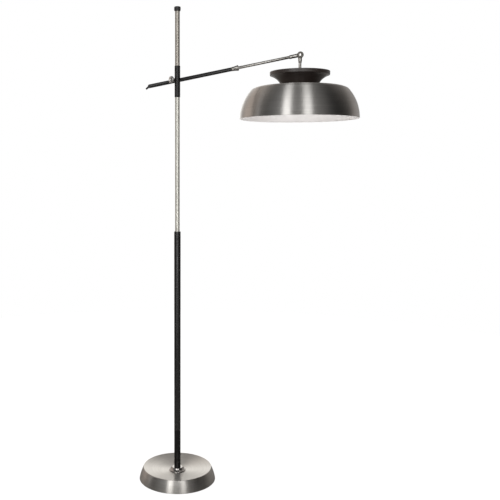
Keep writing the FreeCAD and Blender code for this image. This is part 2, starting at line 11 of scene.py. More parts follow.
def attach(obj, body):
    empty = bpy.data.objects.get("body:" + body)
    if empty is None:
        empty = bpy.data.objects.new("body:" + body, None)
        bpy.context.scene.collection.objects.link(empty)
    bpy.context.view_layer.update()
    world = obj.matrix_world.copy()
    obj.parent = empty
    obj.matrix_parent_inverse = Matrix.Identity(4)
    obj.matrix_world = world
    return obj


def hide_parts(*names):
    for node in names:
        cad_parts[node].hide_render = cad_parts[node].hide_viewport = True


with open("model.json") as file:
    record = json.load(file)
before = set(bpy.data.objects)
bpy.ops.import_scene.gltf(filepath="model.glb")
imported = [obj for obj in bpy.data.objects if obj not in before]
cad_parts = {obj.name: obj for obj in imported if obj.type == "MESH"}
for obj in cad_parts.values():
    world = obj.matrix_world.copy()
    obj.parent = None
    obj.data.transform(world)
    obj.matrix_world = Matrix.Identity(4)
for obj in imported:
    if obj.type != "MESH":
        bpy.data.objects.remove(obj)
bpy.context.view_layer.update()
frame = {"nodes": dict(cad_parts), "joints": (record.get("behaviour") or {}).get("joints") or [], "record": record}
MM = 0.001
UP = Vector((0, 0, 1))
FRONT, BACK = Vector((0, -1, 0)), Vector((0, 1, 0))
SHARP = 32.0        # edges that turn by more than this, in degrees, are shaded sharp

# ------------------------------------------------------------ places read from the frame

JOINTS = {joint["name"]: joint for joint in frame["joints"]}
CROSSING = Vector(JOINTS["arm_tilt"]["pos_m"])      # where the arm passes the pole
ARM_AXIS = Vector(JOINTS["rod_slide"]["axis"])      # along the arm, away from its tail
KNUCKLE = Vector(JOINTS["shade_tilt"]["pos_m"])
KNOB_AXIS = Vector(JOINTS["screw_turn"]["axis"])    # out of the sleeve along the clamp screw
KNOB_ORIGIN = Vector(JOINTS["screw_turn"]["pos_m"])
KEY_ORIGIN = Vector(JOINTS["switch_turn"]["pos_m"])
KEY_AXIS = Vector(JOINTS["switch_turn"]["axis"])
KEY_FOOT = Vector((KEY_ORIGIN.x, KNUCKLE.y, KEY_ORIGIN.z))  # on the axis of the lampholder
POLE = Vector((0, 0, 0))


def reach(node, origin, axis):
    """How far a CAD node reaches along an axis, and its largest radius about it, in mm."""
    low, high, radius = math.inf, -math.inf, 0.0
    for vertex in frame["nodes"][node].data.vertices:
        offset = vertex.co - origin
        along = offset.dot(axis)
        low, high = min(low, along), max(high, along)
        radius = max(radius, (offset - axis * along).length)
    return low / MM, high / MM, radius / MM


# ------------------------------------------------------------ outlines

def arc(start, end, bend, steps=16):
    """Points on the arc between two outline points, without its ends. A positive bend has
    its centre on the left of travel."""
    (ax, ay), (bx, by) = start, end
    chord = math.hypot(bx - ax, by - ay)
    rise = math.sqrt(max(bend * bend - chord * chord / 4, 0))
    side = math.copysign(1, bend)
    cx = (ax + bx) / 2 - side * rise * (by - ay) / chord
    cy = (ay + by) / 2 + side * rise * (bx - ax) / chord
    first = math.atan2(ay - cy, ax - cx)
    turn = (math.atan2(by - cy, bx - cx) - first) % (2 * math.pi)
    if bend < 0:
        turn -= 2 * math.pi
    return [(cx + abs(bend) * math.cos(first + turn * i / steps),
             cy + abs(bend) * math.sin(first + turn * i / steps)) for i in range(1, steps)]


def rounded(points, steps=4):
    """An outline whose (x, y, radius) corners are rounded to that radius."""
    result = []
    for i, point in enumerate(points):
        if len(point) == 2:
            result.append(point)
            continue
        here = Vector(point[:2])
        back = Vector(points[i - 1][:2]) - here
        ahead = Vector(points[(i + 1) % len(points)][:2]) - here
        half = back.angle(ahead) / 2
        setback = point[2] / math.tan(half)
        setback = min(setback, back.length * 0.49, ahead.length * 0.49)
        a, b = here + back.normalized() * setback, here + ahead.normalized() * setback
        radius = setback * math.tan(half)
        cross = back.x * ahead.y - back.y * ahead.x
        bend = radius if cross < 0 else -radius
        result += [tuple(a), *arc(tuple(a), tuple(b), bend, steps), tuple(b)]
    return result


# ------------------------------------------------------------ meshes

def finish_mesh(name, bm, sharp=SHARP):
    """A smooth-shaded object from a bmesh, with its sharp edges marked by angle."""
    bmesh.ops.remove_doubles(bm, verts=bm.verts, dist=1e-7)
    bmesh.ops.recalc_face_normals(bm, faces=bm.faces)
    mesh = bpy.data.meshes.new(name)
    bm.to_mesh(mesh)
    bm.free()
    mesh.shade_smooth()
    mesh.set_sharp_from_angle(angle=math.radians(sharp))
    piece = bpy.data.objects.new(name, mesh)
    bpy.context.scene.collection.objects.link(piece)
    return piece


def add_turning(bm, outline, segments=96, shape=None, material_at=None):
    """Adds the solid turned from a closed outline. shape(radius, height, angle) may move
    the radius, and material_at(i) gives the material of the strip after point i."""
    rings = []
    for radius, height in outline:
        if radius < 1e-6:
            rings.append([bm.verts.new((0, 0, height * MM))])
            continue
        ring = []
        for k in range(segments):
            angle = 2 * math.pi * k / segments
            moved = shape(radius, height, angle) if shape else radius
            ring.append(bm.verts.new((moved * MM * math.cos(angle),
                                      moved * MM * math.sin(angle), height * MM)))
        rings.append(ring)
    for i, ring in enumerate(rings):
        following = rings[(i + 1) % len(rings)]
        if len(ring) == 1 and len(following) == 1:
            continue
        for k in range(segments):
            n = (k + 1) % segments
            corners = [ring[k % len(ring)], ring[n % len(ring)],
                       following[n % len(following)], following[k % len(following)]]
            corners = list(dict.fromkeys(corners))
            face = bm.faces.new(corners)
            if material_at:
                face.material_index = material_at(i)


def turned(name, outline, segments=96, shape=None, material_at=None, sharp=SHARP):
    """The piece turned from a closed outline, round its own Z."""
    bm = bmesh.new()
    add_turning(bm, outline, segments, shape, material_at)
    return finish_mesh(name, bm, sharp)


def cylinder(name, radius, low, high, segments=48):
    """A plain solid cylinder, for cutting holes."""
    return turned(name, [(0, low), (radius, low), (radius, high), (0, high)], segments)


def aim(piece, origin, axis=UP, roll=0.0):
    """Puts the piece's own origin at a place, with its Z along the axis."""
    turn = UP.rotation_difference(axis.normalized()).to_matrix().to_4x4()
    piece.matrix_world = Matrix.Translation(origin) @ turn @ Matrix.Rotation(roll, 4, "Z")
    return piece


def add_block(bm, low, high, bevel, segments):
    """Adds a block between two corners, in mm, with rounded edges."""
    made = bmesh.ops.create_cube(bm, size=1.0)["verts"]
    low, high = Vector(low), Vector(high)
    for vert in made:
        share = vert.co + Vector((0.5, 0.5, 0.5))
        vert.co = Vector([low[i] + (high[i] - low[i]) * share[i] for i in range(3)]) * MM
    edges = list({edge for vert in made for edge in vert.link_edges})
    bmesh.ops.bevel(bm, geom=edges, offset=bevel * MM, segments=segments, profile=0.5,
                    affect="EDGES")


def combine(piece, tool, operation):
    """Applies a boolean of the piece and a tool, and removes the tool."""
    modifier = piece.modifiers.new("combine", "BOOLEAN")
    modifier.operation = operation
    modifier.object = tool
    modifier.solver = "EXACT"
    bpy.context.view_layer.update()
    graph = bpy.context.evaluated_depsgraph_get()
    mesh = bpy.data.meshes.new_from_object(piece.evaluated_get(graph))
    piece.modifiers.clear()
    piece.data = mesh
    mesh.shade_smooth()
    mesh.set_sharp_from_angle(angle=math.radians(SHARP))
    bpy.data.objects.remove(tool)


def cut_with(piece, tool):
    combine(piece, tool, "DIFFERENCE")


def join_with(piece, tool):
    combine(piece, tool, "UNION")


# ------------------------------------------------------------ material helpers

class Nodes:
    """Builds the node tree of a material or a world."""

    def __init__(self, owner):
        owner.use_nodes = True
        self.owner = owner
        self.tree = owner.node_tree
        self.tree.nodes.clear()

    def put(self, socket, value):
        """Links another node's output to the socket, or sets the socket's value."""
        if isinstance(value, bpy.types.NodeSocket):
            self.tree.links.new(value, socket)
        else:
            socket.default_value = value

    def add(self, kind, sockets=None, **settings):
        """Adds a node with these sockets and settings, and returns its outputs."""
        node = self.tree.nodes.new(kind)
        for key, value in settings.items():
            setattr(node, key, value)
        for key, value in (sockets or {}).items():
            self.put(node.inputs[key], value)
        return node.outputs

    def math(self, operation, a, b=0.5):
        return self.add("ShaderNodeMath", {0: a, 1: b}, operation=operation)[0]

    def noise(self, vector, scale, detail=3.0, roughness=0.5, w=None):
        sockets = {"Vector": vector, "Scale": scale, "Detail": detail, "Roughness": roughness}
        if w is None:
            return self.add("ShaderNodeTexNoise", sockets)["Fac"]
        sockets["W"] = w
        return self.add("ShaderNodeTexNoise", sockets, noise_dimensions="4D")["Fac"]

    def spread(self, value, low, high, start=0.3, end=0.7):
        """Maps a value from start..end on to low..high."""
        return self.add("ShaderNodeMapRange", {
            "Value": value, "From Min": start, "From Max": end,
            "To Min": low, "To Max": high})["Result"]

    def blend(self, factor, a, b):
        """Mixes two colours, each an (r, g, b) or an output."""
        mix = self.tree.nodes.new("ShaderNodeMix")
        mix.data_type = "RGBA"
        colours = [socket for socket in mix.inputs if socket.type == "RGBA"]
        for socket, value in ((mix.inputs[0], factor), (colours[0], a), (colours[1], b)):
            self.put(socket, (*value, 1) if isinstance(value, tuple) else value)
        return [socket for socket in mix.outputs if socket.type == "RGBA"][0]

    def object_place(self):
        return self.add("ShaderNodeTexCoord")["Object"]

    def bump(self, height, strength, distance, normal=None):
        sockets = {"Height": height, "Strength": strength, "Distance": distance}
        if normal is not None:
            sockets["Normal"] = normal
        return self.add("ShaderNodeBump", sockets)["Normal"]

    def close(self, **sockets):
        """Ends the tree in a Principled shader with these sockets."""
        names = {name.replace("_", " ").title(): value for name, value in sockets.items()}
        fixed = {"Ior": "IOR", "Specular Ior Level": "Specular IOR Level"}
        shader = self.add("ShaderNodeBsdfPrincipled",
                          {fixed.get(name, name): value for name, value in names.items()})
        self.add("ShaderNodeOutputMaterial", {"Surface": shader[0]})
        return self.owner


def round_axis(n):
    """Radius and height about the piece's own Z, and the direction round it."""
    x, y, z = n.add("ShaderNodeSeparateXYZ", {0: n.object_place()})
    flat = n.add("ShaderNodeCombineXYZ", {"X": x, "Y": y})[0]
    radius = n.add("ShaderNodeVectorMath", {0: flat}, operation="LENGTH")["Value"]
    safe = n.math("MAXIMUM", radius, 1e-4)
    return radius, z, n.math("DIVIDE", x, safe), n.math("DIVIDE", y, safe)


def ring_grain(n, pitch, lean=0.35, detail=4.0):
    """Noise that runs round the axis in long streaks, about pitch metres apart."""
    radius, height, east, north = round_axis(n)
    vector = n.add("ShaderNodeCombineXYZ", {
        "X": n.math("MULTIPLY", radius, 1 / pitch),
        "Y": n.math("MULTIPLY", height, 1 / pitch),
        "Z": n.math("MULTIPLY", east, lean)})[0]
    return n.noise(vector, 1.0, detail, 0.6, w=n.math("MULTIPLY", north, lean))


def brushed_metal(name, colour, dark, roughness, anisotropy, pitch):
    """Metal brushed or spun round its axis, with soft handling marks."""
    n = Nodes(bpy.data.materials.new(name))
    place = n.object_place()
    coarse = ring_grain(n, pitch * 5, 0.6)
    fine = ring_grain(n, pitch, 1.6)
    hair = ring_grain(n, pitch / 5, 5.0, 2.0)
    marks = n.noise(place, 14.0, 5.0, 0.6)
    streak = n.math("ADD", n.math("MULTIPLY", coarse, 0.35), n.math("MULTIPLY", fine, 0.65))
    tint = n.blend(n.spread(streak, 0.0, 1.0, 0.35, 0.65), dark, colour)
    tint = n.blend(n.spread(marks, 0.0, 0.25, 0.45, 0.75), tint, dark)
    rough = n.math("ADD", n.spread(streak, roughness - 0.04, roughness + 0.05),
                   n.spread(marks, 0.0, 0.05))
    grooves = n.bump(hair, 0.25, 0.00003)
    grooves = n.bump(fine, 0.22, 0.00006, grooves)
    tangent = n.add("ShaderNodeTangent", direction_type="RADIAL", axis="Z")[0]
    return n.close(base_color=tint, metallic=1.0, roughness=rough, normal=grooves,
                   anisotropic=anisotropy, anisotropic_rotation=0.25, tangent=tangent)


def chrome(name, colour=(0.70, 0.685, 0.665), roughness=0.07):
    """Polished plating with faint polishing lines, smears and a duller grain in places."""
    n = Nodes(bpy.data.materials.new(name))
    place = n.object_place()
    smear = n.noise(place, 90.0, 6.0, 0.65)
    lines = ring_grain(n, 0.0005, 3.0, 3.0)
    rough = n.math("ADD", n.spread(smear, roughness * 0.6, roughness * 1.9, 0.35, 0.7),
                   n.spread(lines, 0.0, 0.02))
    shade = tuple(c * 0.82 for c in colour)
    tint = n.blend(n.spread(smear, 0.0, 0.7, 0.4, 0.75), colour, shade)
    return n.close(base_color=tint, metallic=1.0, roughness=rough,
                   normal=n.bump(lines, 0.03, 0.00001))


ORANGE_PEEL = 0.0011      # the size of the dimples in sprayed enamel


def enamel(name, colour, worn, roughness, gloss, depth=0.00005):
    """Sprayed enamel: fine orange peel, soft uneven sheen and slightly rubbed edges."""
    n = Nodes(bpy.data.materials.new(name))
    place = n.object_place()
    peel = n.noise(place, 1 / ORANGE_PEEL, 3.0, 0.55)
    cloud = n.noise(place, 22.0, 4.0, 0.6)
    dust = n.noise(place, 900.0, 2.0, 0.7)
    edge = n.add("ShaderNodeNewGeometry")["Pointiness"]
    rub = n.math("MULTIPLY", n.spread(edge, 0.0, 0.6, 0.53, 0.62), n.spread(cloud, 0.2, 1.0))
    tint = n.blend(n.spread(cloud, 0.0, 0.35), colour, worn)
    tint = n.blend(rub, tint, tuple(min(1.0, c * 2.2 + 0.02) for c in worn))
    rough = n.math("ADD", n.spread(cloud, roughness - 0.05, roughness + 0.06),
                   n.spread(dust, 0.0, 0.06, 0.5, 0.75))
    return n.close(base_color=tint, roughness=rough, normal=n.bump(peel, 0.22, depth),
                   specular_ior_level=gloss)


def moulded(name, colour, roughness, grain=0.0006, depth=0.00006, sheen=0.05):
    """Moulded plastic with an even spark-eroded grain."""
    n = Nodes(bpy.data.materials.new(name))
    place = n.object_place()
    stipple = n.noise(place, 1 / grain, 2.0, 0.5)
    cloud = n.noise(place, 40.0, 3.0, 0.5)
    lighter = tuple(min(1.0, c * 1.35 + 0.004) for c in colour)
    tint = n.blend(n.spread(cloud, 0.0, 0.8), colour, lighter)
    rough = n.spread(stipple, roughness - 0.07, roughness + 0.08)
    return n.close(base_color=tint, roughness=rough, normal=n.bump(stipple, 0.35, depth),
                   sheen_weight=sheen)


def cast_iron(name):
    """Rough sand-cast iron with a trace of rust."""
    n = Nodes(bpy.data.materials.new(name))
    place = n.object_place()
    sand = n.noise(place, 700.0, 5.0, 0.65)
    lumps = n.noise(place, 60.0, 4.0, 0.55)
    tint = n.blend(n.spread(lumps, 0.0, 1.0), (0.045, 0.045, 0.047), (0.11, 0.10, 0.095))
    tint = n.blend(n.spread(sand, 0.0, 0.5, 0.55, 0.75), tint, (0.16, 0.09, 0.05))
    normal = n.bump(lumps, 0.4, 0.0006, n.bump(sand, 0.5, 0.0003))
    return n.close(base_color=tint, metallic=0.6, roughness=n.spread(sand, 0.55, 0.8),
                   normal=normal)


def felt(name):
    """Dark felt with loose fibres."""
    n = Nodes(bpy.data.materials.new(name))
    place = n.object_place()
    fibre = n.add("ShaderNodeTexNoise", {"Vector": place, "Scale": 1400.0, "Detail": 6.0,
                                         "Roughness": 0.7, "Distortion": 1.5})["Fac"]
    tuft = n.noise(place, 180.0, 4.0, 0.6)
    tint = n.blend(n.spread(fibre, 0.0, 1.0), (0.012, 0.012, 0.013), (0.06, 0.058, 0.056))
    tint = n.blend(n.spread(tuft, 0.0, 0.4), tint, (0.09, 0.088, 0.085))
    return n.close(base_color=tint, roughness=0.95, sheen_weight=0.4,
                   normal=n.bump(fibre, 0.6, 0.0004))


def plated(name, colour, dark, roughness=0.32):
    """Turned or pressed metal with light tool marks and a patchy plated finish."""
    n = Nodes(bpy.data.materials.new(name))
    place = n.object_place()
    spangle = n.noise(place, 260.0, 4.0, 0.6)
    cloud = n.noise(place, 50.0, 3.0, 0.5)
    tint = n.blend(n.spread(spangle, 0.0, 1.0), colour, dark)
    rough = n.math("ADD", n.spread(spangle, roughness - 0.08, roughness + 0.1),
                   n.spread(cloud, 0.0, 0.08))
    return n.close(base_color=tint, metallic=1.0, roughness=rough,
                   normal=n.bump(spangle, 0.25, 0.00008))


def frosted_glass(name):
    """Glass with a fine white powder inside."""
    n = Nodes(bpy.data.materials.new(name))
    place = n.object_place()
    frost = n.noise(place, 1800.0, 3.0, 0.6)
    powder = n.noise(place, 45.0, 3.0, 0.5)
    tint = n.blend(n.spread(powder, 0.0, 1.0), (0.93, 0.93, 0.91), (0.84, 0.84, 0.81))
    return n.close(base_color=tint, roughness=n.spread(frost, 0.28, 0.42),
                   transmission_weight=0.25, ior=1.45, normal=n.bump(frost, 0.2, 0.00003),
                   subsurface_weight=0.2, subsurface_scale=0.004)


def white_enamel(name):
    """The reflecting enamel inside the shade."""
    n = Nodes(bpy.data.materials.new(name))
    place = n.object_place()
    peel = n.noise(place, 600.0, 3.0, 0.55)
    cloud = n.noise(place, 12.0, 4.0, 0.55)
    tint = n.blend(n.spread(cloud, 0.0, 1.0), (0.86, 0.84, 0.83), (0.80, 0.775, 0.76))
    return n.close(base_color=tint, roughness=n.spread(cloud, 0.26, 0.38),
                   normal=n.bump(peel, 0.15, 0.00005), coat_weight=0.2, coat_roughness=0.15)


def pole_metal(name):
    """The pole's satin plating: pale and creamy below the sleeve's rest and greyer above it, a split that is
    painted reflection.
    """
    n = Nodes(bpy.data.materials.new(name))
    place = n.object_place()
    up = n.add("ShaderNodeSeparateXYZ", {0: place})["Z"]
    lines = ring_grain(n, 0.004, 1.0, 2.0)
    marks = n.noise(place, 30.0, 4.0, 0.6)
    # painted reflection: the base colour is pale below the sleeve's rest and grey above it; the marks and grain
    # lines in each are the plating's own
    painted_reflection_split = n.spread(up, 0.0, 1.0, 1.36, 1.44)
    pale = n.blend(n.spread(marks, 0.0, 0.5), (0.72, 0.71, 0.65), (0.64, 0.625, 0.57))
    grained_painted_dim_grey = n.blend(n.spread(lines, 0.0, 1.0), (0.50, 0.47, 0.42), (0.42, 0.39, 0.345))
    rough = n.math("ADD", n.spread(marks, 0.34, 0.42), n.spread(lines, 0.0, 0.04))
    return n.close(base_color=n.blend(painted_reflection_split, pale, grained_painted_dim_grey), metallic=0.85, roughness=rough,
                   normal=n.bump(lines, 0.05, 0.00003), specular_ior_level=0.6)


FINISHES = {
    "brushed_nickel": brushed_metal("brushed_nickel", (0.60, 0.58, 0.55), (0.47, 0.45, 0.42),
                                    0.34, 0.88, 0.0020),
    "shade_metal": brushed_metal("shade_metal", (0.64, 0.625, 0.60), (0.50, 0.485, 0.465),
                                 0.38, 1.0, 0.0030),
    "chrome": chrome("chrome"),
    "black_enamel": enamel("black_enamel", (0.0035, 0.0032, 0.003), (0.007, 0.0065, 0.006),
                           0.26, gloss=0.5, depth=0.00002),
    "bronze_enamel": enamel("bronze_enamel", (0.031, 0.0215, 0.018), (0.044, 0.032, 0.027),
                            0.40, gloss=0.8),
    "black_plastic": moulded("black_plastic", (0.012, 0.012, 0.012), 0.42),
    "nylon": moulded("nylon", (0.62, 0.60, 0.54), 0.5, 0.0009, 0.00003, 0.1),
    "cast_iron": cast_iron("cast_iron"),
    "felt": felt("felt"),
    "zinc_steel": plated("zinc_steel", (0.58, 0.59, 0.60), (0.44, 0.45, 0.47)),
    "brass": plated("brass", (0.78, 0.60, 0.30), (0.60, 0.44, 0.20), 0.28),
    "phenolic": moulded("phenolic", (0.020, 0.017, 0.015), 0.28, 0.0009, 0.00003, 0.0),
    "lamp_glass": frosted_glass("lamp_glass"),
    "lamp_base": plated("lamp_base", (0.70, 0.70, 0.70), (0.55, 0.55, 0.55), 0.25),
}
POLE_PLATING = pole_metal("pole_plating")
# a darker copy of the chrome: painted shade that dims the reflections of the rod, collet nut, knuckle and stem
ARM_CHROME_PAINTED_SHADE = chrome("arm_chrome_painted_shade", (0.40, 0.385, 0.36), 0.22)
# a darker copy of the chrome: painted shade that dims the collar's reflections
COLLAR_CHROME_PAINTED_SHADE = chrome("collar_chrome_painted_shade", (0.46, 0.44, 0.42), 0.08)
# the darkest copy of the chrome: painted dark reflection on the knuckle's discs
PAINTED_DARK_REFLECTION_CHROME = chrome("painted_dark_reflection_chrome", (0.10, 0.095, 0.085), 0.16)
INSIDE = white_enamel("white_enamel")
SLOT_OF = {s["node"]: s["material_slot"] for s in frame["record"]["subparts"]}
BODY_OF = {node: body for body, nodes in frame["record"]["behaviour"]["bodies"].items()
           for node in nodes}


def dress(piece, node, *more_materials, finish=None):
    """The piece stands for a CAD node: it takes that node's body, slot and finish."""
    for i, material in enumerate((finish or FINISHES[SLOT_OF[node]], *more_materials)):
        if i < len(piece.data.materials):
            piece.data.materials[i] = material
        else:
            piece.data.materials.append(material)
    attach(piece, BODY_OF[node])
    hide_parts(node)


# ------------------------------------------------------------ base

def build_base():
    """The pressed cover with its dished top, the felt pad and the bell-shaped collar."""
    bolt_hole = 5.2
    low, rim, outer = reach("base_cover", POLE, UP)
    rim_radius, seat, seat_radius, wall = 120.0, 30.0, 32.0, 1.5
    foot, top_out, top_in = (outer, low), (rim_radius + 1.2, rim - 1.5), (rim_radius - 1.2, rim)
    side = arc(foot, top_out, 160, 24)
    hollow = arc(top_in, (seat_radius, seat), -430, 40)
    under = [(rim_radius - 2.4, rim - wall - 0.6), (rim_radius - 1.2, rim - wall - 2.0)]
    outline = [
        (outer - 0.4, low), foot, *side, top_out, *arc(top_out, top_in, 1.8, 8), top_in,
        *hollow, (seat_radius, seat), (bolt_hole, seat), (bolt_hole, seat - wall),
        (seat_radius, seat - wall),
        *arc((seat_radius, seat - wall), under[0], 430, 24), *under,
        *arc(under[1], (outer - 1.8, low), -160, 16), (outer - 1.8, low),
    ]
    dress(turned("base_cover_shell", outline, 192), "base_cover")

    pad_low, pad_high, pad_radius = reach("base_pad", POLE, UP)
    pad = rounded([(0, pad_low), (pad_radius, pad_low, 0.8), (pad_radius, pad_high, 0.5),
                   (0, pad_high)])
    dress(turned("base_felt", pad, 128), "base_pad")

    foot, top, radius = reach("collar_nut", POLE, UP)
    lip, bore, floor = 18.5, 11.4, 35
    shoulder, throat = (radius - 1.6, foot + 3.0), (lip + 1.0, top - 1.8)
    collar = [
        (bolt_hole, foot), (radius - 0.3, foot), (radius, foot + 0.3), (radius, foot + 1.6),
        *arc((radius, foot + 1.6), shoulder, 1.6, 6), shoulder,
        *arc(shoulder, throat, -13, 16), throat,
        *arc(throat, (lip - 0.8, top), 1.6, 8), (lip - 0.8, top),
        (bore + 0.4, top), (bore, top - 0.4), (bore, floor), (bolt_hole, floor),
    ]
    dress(turned("collar_bell", collar, 128), "collar_nut", finish=COLLAR_CHROME_PAINTED_SHADE)


# ------------------------------------------------------------ pole

def build_pole():
    """The black lower tube, the plated upper tube and the cap on top."""
    low, high, radius = reach("lower_tube", POLE, UP)
    bore = 9.85
    tube = rounded([(bore, low, 0.3), (radius, low, 0.3), (radius, high, 1.2),
                    (bore, high, 0.3)], 6)
    dress(turned("lower_pole", tube, 96), "lower_tube")

    low, high, radius = reach("upper_tube", POLE, UP)
    bore = 6.8
    tube = rounded([(bore, low, 0.3), (radius, low, 0.3), (radius, high, 0.3),
                    (bore, high, 0.3)])
    dress(turned("upper_pole", tube, 96), "upper_tube", finish=POLE_PLATING)

    low, high, radius = reach("top_cap", POLE, UP)
    bore = 8.1
    cap = rounded([
        (bore, low, 0.3), (radius - 1.4, low, 0.6), (radius, low + 3, 1.5),
        (radius, high, 2.8), (4.0, high), (3.2, high - 0.35), (0, high - 0.35),
        (0, high - 4), (bore, high - 4),
    ], 6)
    dress(turned("pole_cap", cap, 96), "top_cap")


# ------------------------------------------------------------ sleeve and clamp screw

def build_sleeve():
    """The sliding sleeve, its two liners and the boss for the clamp screw."""
    sleeve_low, sleeve_high, sleeve_radius = reach("sleeve", POLE, UP)
    bore = 8.75
    sleeve = rounded([(bore, sleeve_low, 0.15), (sleeve_radius, sleeve_low, 0.35),
                      (sleeve_radius, sleeve_high, 0.35), (bore, sleeve_high, 0.15)], 3)
    tube = turned("pole_sleeve", sleeve, 128)
    cut_with(tube, aim(cylinder("hole", 3.0, 2, 15, 32), KNOB_ORIGIN, KNOB_AXIS))
    dress(tube, "sleeve")

    bore, shank, lip = 8.1, 8.65, 1
    for node in ("lower_liner", "upper_liner"):
        low, high, radius = reach(node, POLE, UP)
        if node == "lower_liner":
            outline = [(bore, low), (radius, low, 0.25), (radius, low + lip, 0.1),
                       (shank, low + lip), (shank, high, 0.1), (bore, high)]
        else:
            outline = [(bore, low), (shank, low, 0.1), (shank, high - lip),
                       (radius, high - lip, 0.1), (radius, high, 0.25), (bore, high)]
        dress(turned(f"{node}_bush", rounded(outline, 3), 96), node)

    low, high, radius = reach("screw_boss", KNOB_ORIGIN, KNOB_AXIS)
    boss = turned("clamp_boss", rounded([
        (2.6, 8.0), (radius, 8.0), (radius, high, 0.7), (4.0, high, 0.2), (2.6, high - 0.9),
    ]), 64)
    aim(boss, KNOB_ORIGIN, KNOB_AXIS)
    cut_with(boss, cylinder("core", sleeve_radius, sleeve_low, sleeve_high, 128))
    dress(boss, "screw_boss")


def thread(bm, core, crest, low, high, pitch, segments=40):
    """Adds a screw thread: a closed ridge that winds up the axis from low to high."""
    turns = (high - low) / pitch
    count = int(turns * segments)
    previous = first = None
    for i in range(count + 1):
        angle = 2 * math.pi * i / segments
        height = low + pitch * i / segments
        fade = min(1.0, i / segments, (count - i) / segments)
        tip = core - 0.05 + (crest - core) * fade
        section = [(core - 0.25, height - pitch * 0.46), (tip, height - pitch * 0.08),
                   (tip, height + pitch * 0.08), (core - 0.25, height + pitch * 0.46)]
        ring = [bm.verts.new((r * MM * math.cos(angle), r * MM * math.sin(angle), z * MM))
                for r, z in section]
        if previous:
            for k in range(4):
                n = (k + 1) % 4
                bm.faces.new((previous[k], previous[n], ring[n], ring[k]))
        else:
            first = ring
        previous = ring
    bm.faces.new(first)
    bm.faces.new(previous[::-1])


def build_clamp_screw():
    """The clamp screw and its knurled knob."""
    low, high, radius = reach("clamp_screw", KNOB_ORIGIN, KNOB_AXIS)
    core, thread_end, pitch = radius - 0.35, 22.5, 1.0
    bm = bmesh.new()
    add_turning(bm, rounded([(0, low), (radius - 0.7, low, 0.2), (core, low + 1.0),
                             (core, high), (0, high)]), 48)
    thread(bm, core, radius, low + 1.0, thread_end, pitch)
    dress(aim(finish_mesh("clamp_thread", bm), KNOB_ORIGIN, KNOB_AXIS), "clamp_screw")

    back, face, radius = reach("clamp_knob", KNOB_ORIGIN, KNOB_AXIS)
    ridges = 40
    edge = radius - 0.7

    def knurl(r, z, angle):
        if r < edge or not back + 4.0 < z < face - 2.4:
            return r
        return r - 0.45 * (0.5 - 0.5 * math.cos(ridges * angle))

    rim_low, rim_high = back + 4.4, face - 2.6
    outline = rounded([
        (0, face - 2.4), (3.0, face - 2.4, 0.5), (5.0, face - 0.3, 0.5), (5.8, face, 0.4),
        (radius - 2.6, face - 0.6, 1.0), (radius - 0.3, rim_high + 0.5, 0.4),
        (radius, rim_high - 0.2), (radius, rim_low + 0.2), (radius - 0.3, rim_low - 0.6, 0.4),
        (radius - 2.4, back + 2.5, 1.0), (5.0, back + 2.5, 0.6), (4.2, back, 0.4),
        (2.5, back), (0, back),
    ], 5)
    dense = []
    for (r0, z0), (r1, z1) in zip(outline, outline[1:] + outline[:1]):
        dense.append((r0, z0))
        if abs(z1 - z0) > 0.8 and min(r0, r1) > edge:
            dense += [(r0 + (r1 - r0) * share, z0 + (z1 - z0) * share)
                      for share in (0.25, 0.5, 0.75)]
    knob = turned("clamp_knob_head", dense, ridges * 8, knurl, sharp=40)
    dress(aim(knob, KNOB_ORIGIN, KNOB_AXIS), "clamp_knob")


# ------------------------------------------------------------ arm

def build_arm():
    """The arm tube, the collet nut on its end and the telescopic rod."""
    low, high, radius = reach("arm_tube", CROSSING, ARM_AXIS)
    bore = 5.95
    tube = rounded([(bore, low, 0.2), (radius, low, 0.4), (radius, high, 0.5),
                    (bore, high, 0.2)], 4)
    dress(aim(turned("arm_tube_skin", tube, 96), CROSSING, ARM_AXIS), "arm_tube")
    build_tail_cap(low, radius)

    low, high, radius = reach("collet_nut", CROSSING, ARM_AXIS)
    bore = 5.25
    heel, shoulder = (7.1, low + 1.2), (radius, high - 4)
    nut = rounded([(6.0, low), (6.5, low, 0.2), heel], 3) + [
        *arc(heel, shoulder, -70, 14), shoulder,
        (radius, high - 1.2), *arc((radius, high - 1.2), (radius - 1.2, high), 1.2, 6),
        (radius - 1.2, high), (bore + 0.8, high), (bore, high - 0.8), (bore, high - 5),
        (6.0, high - 7),
    ]
    dress(aim(turned("collet_cone", nut, 96), CROSSING, ARM_AXIS), "collet_nut",
          finish=ARM_CHROME_PAINTED_SHADE)

    low, high, radius = reach("rod", CROSSING, ARM_AXIS)
    bore = 3.8
    rod = rounded([(bore, low, 0.2), (radius, low, 0.4), (radius, high, 0.3),
                   (bore, high, 0.2)], 3)
    dress(aim(turned("telescopic_rod", rod, 96), CROSSING, ARM_AXIS), "rod",
          finish=ARM_CHROME_PAINTED_SHADE)


